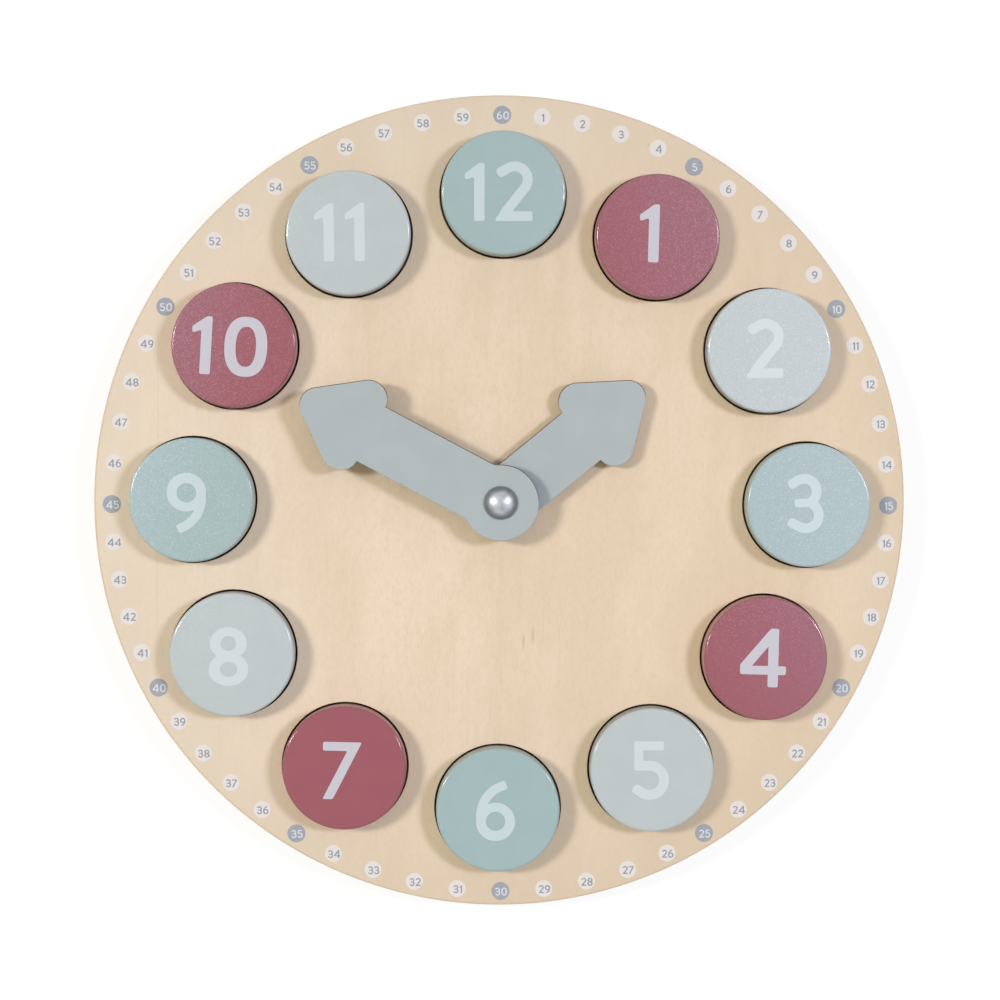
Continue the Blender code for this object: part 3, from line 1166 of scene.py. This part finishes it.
def make_minute_ring(digits):
    """Sixty printed dots with their numbers, every fifth one in the darker ink."""
    dot = united([circle((0, 0), 1, small_segments)])
    right, down = [part * board_pixel for part in minute_digit_shift_pixels]
    step = minute_count // hour_count
    wood = colour(228, 206, 180)
    sets = (
        ("pale", False, minute_dot_diameter, ink("dot_pale", colour(230, 225, 224), wood, 0.3),
         ink("digit_slate", colour(140, 147, 158), colour(200, 198, 202), 0.4)),
        ("slate", True, five_minute_dot_diameter, ink("dot_slate", colour(153, 160, 172), wood, 0.3),
         ink("digit_pale", colour(221, 226, 233), colour(170, 178, 190), 0.4)),
    )
    for name, every_fifth, diameter, dot_ink, digit_ink in sets:
        dots, numbers = [], []
        for minute in range(1, minute_count + 1):
            if (minute % step == 0) != every_fifth:
                continue
            x, y = minute_point(minute)
            dots.append((dot, stamp_place((x, y), board_top, dot_thickness, diameter / 2)))
            point, height = (x + right, y - down), board_top + dot_thickness
            place = stamp_place(point, height, digit_thickness, minute_digit_height, camera_turn)
            numbers += stamped(number_layout(minute, digits, minute_digit_gap), place)
        attach(printed(f"minute_dots_{name}", dots, dot_ink), "board")
        attach(printed(f"minute_digits_{name}", numbers, digit_ink), "board")


# Stage


def make_camera():
    """The camera almost straight above the dial, leaning a little to the left and to the top."""
    upright = sqrt(1 - camera_lean_left ** 2 - camera_lean_up ** 2)
    lean = Vector((-camera_lean_left, camera_lean_up, upright))
    aim = Vector((*camera_aim, board_top))
    data = bpy.data.cameras.new("camera")
    data.sensor_width = sensor_width
    data.lens = sensor_width * camera_distance / board_pixel / image_size
    camera = linked("camera", data)
    across = Vector((0, 1, 0)).cross(lean).normalized()
    look = Matrix((across, lean.cross(across), lean)).transposed().to_4x4()
    placed = Matrix.Translation(aim + lean * camera_distance) @ look
    camera.matrix_world = Matrix.Rotation(camera_turn, 4, "Z") @ placed
    bpy.context.scene.camera = camera


def make_lamps():
    """A soft lamp on each side, both aimed past the hour 6 so that the dial's top gets less light."""
    for name, across, power, tint in (
        ("left_lamp", left_lamp_across, left_lamp_power, left_lamp_colour),
        ("right_lamp", right_lamp_across, right_lamp_power, right_lamp_colour),
    ):
        data = bpy.data.lights.new(name, "AREA")
        data.shape = "DISK"
        data.size = lamp_diameter
        data.energy = power
        data.color = tint
        lamp = linked(name, data)
        lamp.location = (across, lamp_along, board_top + lamp_height)
        lamp.rotation_euler = (lamp.location - Vector((*lamp_aim, 0))).to_track_quat("Z", "Y").to_euler()


def background_share(tree):
    """One where the ray comes from the camera, a reflection or a transmission."""
    path = add(tree, "LightPath").outputs
    share = calculate(tree, "MAXIMUM", path["Is Camera Ray"], path["Is Glossy Ray"])
    return calculate(tree, "MAXIMUM", share, path["Is Transmission Ray"])


def make_world():
    """Even pale light all round, and a white background."""
    world = bpy.data.worlds.new("studio")
    bpy.context.scene.world = world
    world.use_nodes = True
    tree = world.node_tree
    tree.nodes.clear()
    light = add(tree, "Background", {"Color": (*sky_colour, 1), "Strength": sky_strength})
    white = add(tree, "Background", {"Color": grey(1), "Strength": 1.0})
    share = background_share(tree)
    both = add(tree, "MixShader", {0: share, 1: light.outputs[0], 2: white.outputs[0]})
    add(tree, "OutputWorld", {"Surface": both.outputs[0]})


def floor_material():
    """Pale matt floor that the camera sees as white, apart from the clock's soft shadow.

    Its own glow grows away from the clock, where the lamps' light falls off.
    """
    made, tree = new_material("floor_paper")
    paper = lumps(tree, (0.002, 0.002, 0.002))
    tone = mixed(tree, paper, grey(0.8), grey(0.84))
    seen = background_share(tree)
    shader = tree.nodes["Principled BSDF"]
    connect(tree, mixed(tree, seen, tone, grey(0.2)), shader.inputs["Base Color"])
    shader.inputs["Roughness"].default_value = 1.0
    shader.inputs["Specular IOR Level"].default_value = 0.0
    shader.inputs["Emission Color"].default_value = grey(1)
    glow = between(tree, from_pivot(tree), *glow_reach, 0.84, 1.0)
    connect(tree, multiply(tree, seen, glow), shader.inputs["Emission Strength"])
    return made


def make_floor():
    """The floor that the clock lies on."""
    shape = bmesh.new()
    bmesh.ops.create_grid(shape, x_segments=1, y_segments=1, size=floor_reach)
    bmesh.ops.translate(shape, vec=(0, 0, -floor_gap), verts=shape.verts)
    new_piece("floor", shape, (floor_material(),))


def main():
    bpy.context.scene.view_settings.view_transform = "Standard"
    make_boards()
    make_discs()
    make_hands()
    make_washers()
    make_rivet()
    make_numerals(make_digits(numeral_stroke))
    make_minute_ring(make_digits(minute_digit_stroke))
    make_camera()
    make_lamps()
    make_world()
    make_floor()


main()
